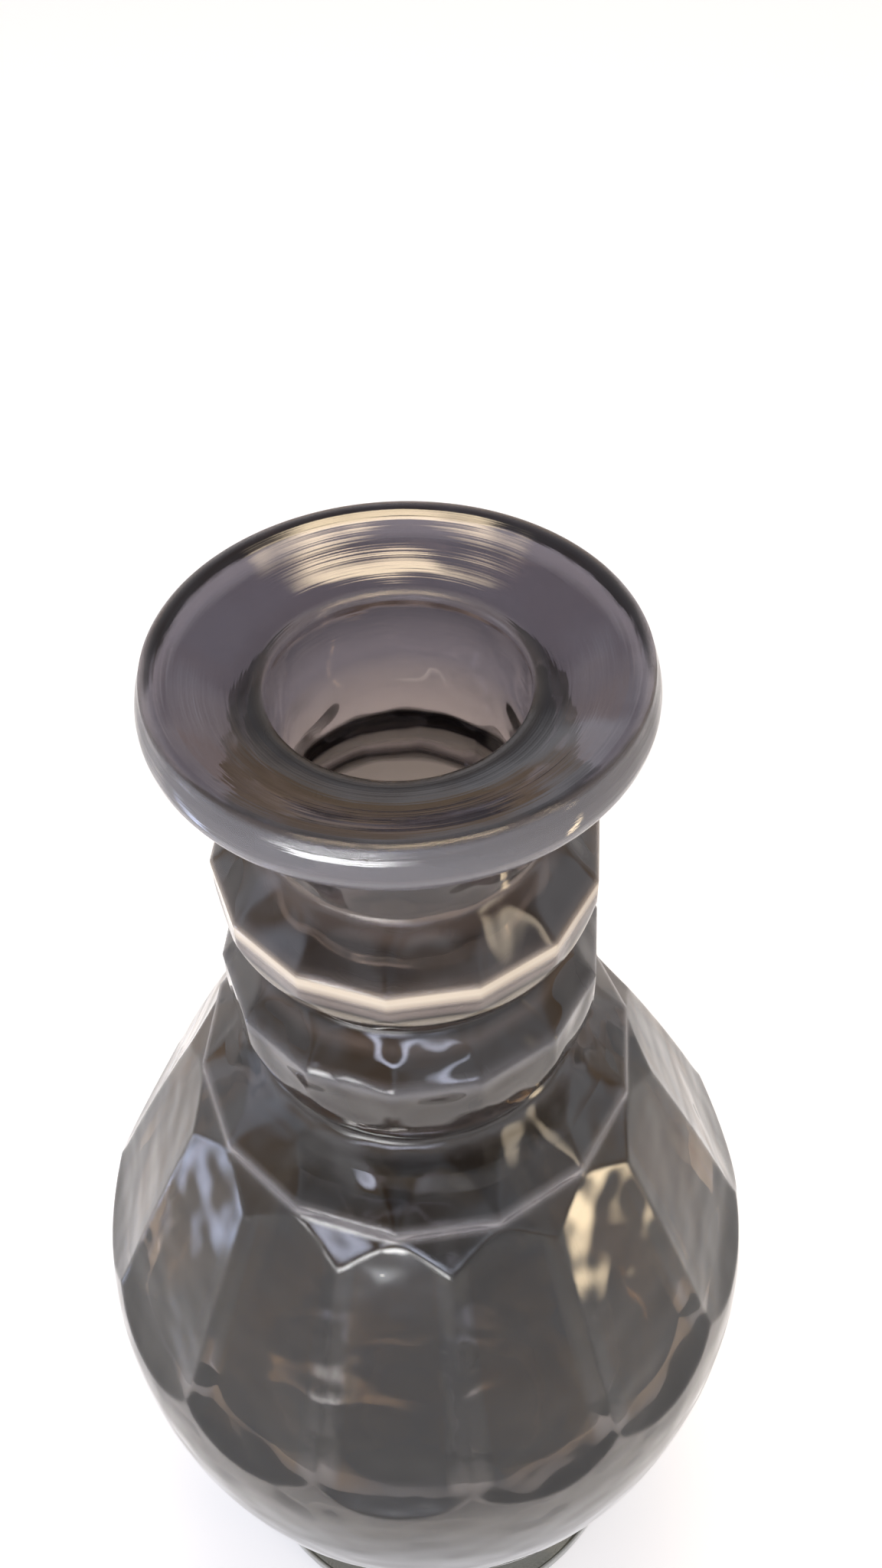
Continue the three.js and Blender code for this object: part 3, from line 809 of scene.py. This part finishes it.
def studio_paper():
    """Matt white studio paper, seamless. It gives the plain pale ground, keeps the soft shadow and reads as white
    behind the glass."""
    material, tree = new_material("White studio paper, matt rolled")
    ripple_mm, ripple_depth_mm, lift = 400, 1, 0.46
    path = add_node(tree, "ShaderNodeLightPath").outputs
    seen = maths(tree, "MAXIMUM", path["Is Camera Ray"], path["Is Glossy Ray"])
    seen = maths(tree, "MAXIMUM", seen, path["Is Transmission Ray"])
    place = add_node(tree, "ShaderNodeTexCoord").outputs["Object"]
    ripples = bumped(tree, noise(tree, place, ripple_mm, 1.0), 0.1, ripple_depth_mm)
    paper = add_node(
        tree,
        "ShaderNodeBsdfPrincipled",
        [(ripples, "Normal"), (maths(tree, "MULTIPLY", seen, lift), "Emission Strength")],
        Base_Color=linear("#e2e4ea"),
        Roughness=0.9,
        Emission_Color=(1, 1, 1, 1),
    )
    paper.inputs["Specular IOR Level"].default_value = 0.1
    add_node(tree, "ShaderNodeOutputMaterial", [(paper.outputs["BSDF"], "Surface")])
    return material


def add_object(name, mesh, material):
    """A new object at the origin with its material."""
    thing = bpy.data.objects.new(name, mesh)
    mesh.materials.append(material)
    bpy.context.collection.objects.link(thing)
    return thing


class CARAFE_OT_glass(bpy.types.Operator):
    """Builds the carafe's glass as one skin"""

    bl_idname = "carafe.glass"
    bl_label = "Build the glass"

    def execute(self, context):
        scene = context.scene
        radii, heights, angles = carafe_grids(scene.carafe_shape)
        points = round_the_axis(radii, heights, angles, scene.carafe_shape.facets)
        mesh = skin_mesh("carafe_glass", points)
        tidy_mesh(mesh)
        glass = add_object("carafe_glass", mesh, cut_lead_glass(scene.carafe_glass, scene.carafe_shape))
        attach(glass, "root")
        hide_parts(*NODES)
        return {"FINISHED"}


class CARAFE_OT_studio(bpy.types.Operator):
    """Builds the floor, the lights, the world and the camera"""

    bl_idname = "carafe.studio"
    bl_label = "Build the studio"

    def execute(self, context):
        add_floor()
        add_lights()
        add_world(context.scene)
        add_camera(context.scene)
        return {"FINISHED"}


def add_floor():
    """A flat sheet of studio paper: the product of two straight parameters on a coarse grid."""
    half_size = 4.0
    side = np.linspace(-half_size, half_size, 9)
    x, y = np.meshgrid(side, side, indexing="ij")
    points = np.stack([x, y, np.zeros_like(x)], -1).reshape(-1, 3)
    count = len(side)
    index = np.arange(count * count).reshape(count, count)
    faces = np.stack([index[:-1, :-1], index[1:, :-1], index[1:, 1:], index[:-1, 1:]], -1).reshape(-1, 4)
    mesh = bpy.data.meshes.new("studio_floor")
    mesh.from_pydata(points, [], faces.tolist())
    add_object("studio_floor", mesh, studio_paper())


def add_lamp(name, place, aim, size, power, colour):
    """A soft box at a place, turned to its aim, whose cloth is brightest in the middle and fades to its edges."""
    lamp = bpy.data.lights.new(name, "AREA")
    lamp.shape = "RECTANGLE"
    lamp.size, lamp.size_y = size
    lamp.energy = power
    lamp.color = linear(colour)[:3]
    lamp.use_nodes = True
    tree = lamp.node_tree
    tree.nodes.clear()
    spot = add_node(tree, "ShaderNodeNewGeometry").outputs["Parametric"]
    away = add_node(tree, "ShaderNodeVectorMath", [(spot, 0)], operation="DISTANCE")
    away.inputs[1].default_value = (0.5, 0.5, 0)
    dark_from, bright_to = 0.5, 0.12
    fade = climb(tree, away.outputs["Value"], dark_from, bright_to, smooth=True)
    cloth = add_node(tree, "ShaderNodeEmission", [(fade, "Strength")])
    add_node(tree, "ShaderNodeOutputLight", [(cloth.outputs["Emission"], "Surface")])
    thing = bpy.data.objects.new(name, lamp)
    bpy.context.collection.objects.link(thing)
    thing.visible_camera = False
    thing.location = place
    thing.rotation_euler = (Vector(aim) - Vector(place)).to_track_quat("-Z", "Y").to_euler()


def add_lights():
    """A warm top box, a warm window on the right, a wide cool one on the left, a strip in front, a small strip close
    by on each side that draws a line of light down the flutes, and a low wide one that lights the lip's rim."""
    middle = (0, 0, 0.14)
    add_lamp("top_box", (0.0, 0.30, 1.3), middle, (0.85, 0.45), 20, "#ffe8c4")
    add_lamp("right_box", (0.9, -0.35, 0.75), middle, (0.3, 1.0), 4, "#ffe9c8")
    add_lamp("left_box", (-1.0, -0.1, 0.7), middle, (0.9, 1.2), 4, "#d4e2ff")
    add_lamp("front_strip", (-0.1, -1.0, 0.47), (0, 0, 0.18), (1.6, 0.16), 8, "#dfe6ff")
    add_lamp("left_strip", (-0.22, -0.03, 0.07), (0, 0, 0.11), (0.05, 0.14), 0.12, "#cfdcff")
    add_lamp("right_strip", (0.22, -0.06, 0.09), (0, 0, 0.11), (0.03, 0.12), 0.15, "#ffe6be")
    add_lamp("rim_strip", (-0.3, -0.95, 0.05), (0, 0, 0.239), (1.3, 0.26), 22, "#ffffff")


def add_world(scene):
    """A room with windows of cool daylight all round, broken by soft patches of warm shade, under a dim ceiling. The
    height of the view's direction and a slow noise give the brightness."""
    world = bpy.data.worlds.new("studio_room")
    scene.world = world
    world.use_nodes = True
    tree = world.node_tree
    tree.nodes.clear()
    way = add_node(tree, "ShaderNodeTexCoord").outputs["Generated"]
    patches = add_node(tree, "ShaderNodeTexNoise", [(way, "Vector")], Scale=2.2, Detail=1.0)
    shades = two_colours(tree, patches.outputs["Fac"], (0.38, "#b89f86"), (0.62, "#eeeef4"))
    upwards = add_node(tree, "ShaderNodeSeparateXYZ", [(way, "Vector")]).outputs["Z"]
    window_strength, ceiling_strength = 1.5, 0.5
    strength = climb(tree, upwards, 0.3, 0.7, window_strength, ceiling_strength, smooth=True)
    room = add_node(tree, "ShaderNodeBackground", [(shades, "Color"), (strength, "Strength")])
    add_node(tree, "ShaderNodeOutputWorld", [(room.outputs["Background"], "Surface")])


def turned(vector, axis, angle):
    """A vector turned about an axis."""
    return Matrix.Rotation(angle, 3, axis) @ vector


def add_camera(scene):
    """The photograph's camera: it looks down at the lip from close by, slightly tilted."""
    azimuth, elevation = math.radians(7.9), math.radians(42.766)
    distance = 179.4 * MM
    pitch, yaw, roll = math.radians(3.987), math.radians(1.455), math.radians(3.025)
    lip_centre = Vector((0, 0, 236 * MM))
    away = Vector((math.cos(elevation) * math.sin(azimuth), -math.cos(elevation) * math.cos(azimuth),
                   math.sin(elevation)))
    forward = -away
    right = Vector((math.cos(azimuth), math.sin(azimuth), 0))
    down = forward.cross(right)
    forward, down = turned(forward, right, -pitch), turned(down, right, -pitch)
    forward, right = turned(forward, down, yaw), turned(right, down, yaw)
    right, down = turned(right, forward, roll), turned(down, forward, roll)
    lens = bpy.data.cameras.new("photo_camera")
    lens.sensor_fit = "VERTICAL"
    lens.sensor_height = 36
    lens.lens = lens.sensor_height * FOCAL_PX / PHOTO_HEIGHT_PX
    lens.clip_start = 0.01
    camera = bpy.data.objects.new("photo_camera", lens)
    bpy.context.collection.objects.link(camera)
    axes = Matrix((right, -down, -forward)).transposed()
    camera.matrix_world = Matrix.Translation(lip_centre + distance * away) @ axes.to_4x4()
    scene.camera = camera


class CARAFE_PT_panel(bpy.types.Panel):
    """Lists the carafe's sizes and its pieces"""

    bl_idname = "CARAFE_PT_panel"
    bl_label = "Carafe"
    bl_space_type = "VIEW_3D"
    bl_region_type = "UI"
    bl_category = "Carafe"

    def draw(self, context):
        for operator in OPERATORS:
            self.layout.operator(operator.bl_idname)
        for group in (context.scene.carafe_shape, context.scene.carafe_glass):
            for name in group.__annotations__:
                self.layout.prop(group, name)


OPERATORS = (CARAFE_OT_glass, CARAFE_OT_studio)
CLASSES = (CarafeShape, CarafeGlass, *OPERATORS, CARAFE_PT_panel)


def register():
    """Registers the classes and hangs the settings on the scene."""
    for kind in CLASSES:
        bpy.utils.register_class(kind)
    bpy.types.Scene.carafe_shape = bpy.props.PointerProperty(type=CarafeShape)
    bpy.types.Scene.carafe_glass = bpy.props.PointerProperty(type=CarafeGlass)


def unregister():
    """Takes the settings and the classes away."""
    del bpy.types.Scene.carafe_glass
    del bpy.types.Scene.carafe_shape
    for kind in reversed(CLASSES):
        bpy.utils.unregister_class(kind)


def set_scene(scene):
    """Plain view settings, and enough bounces for light to cross the walls of the glass."""
    scene.view_settings.view_transform = "Standard"
    scene.cycles.max_bounces = 24
    scene.cycles.transmission_bounces = 24
    scene.cycles.glossy_bounces = 8


def main():
    """Builds every piece in order."""
    register()
    set_scene(bpy.context.scene)
    bpy.ops.carafe.glass()
    bpy.ops.carafe.studio()


if __name__ == "__main__":
    main()
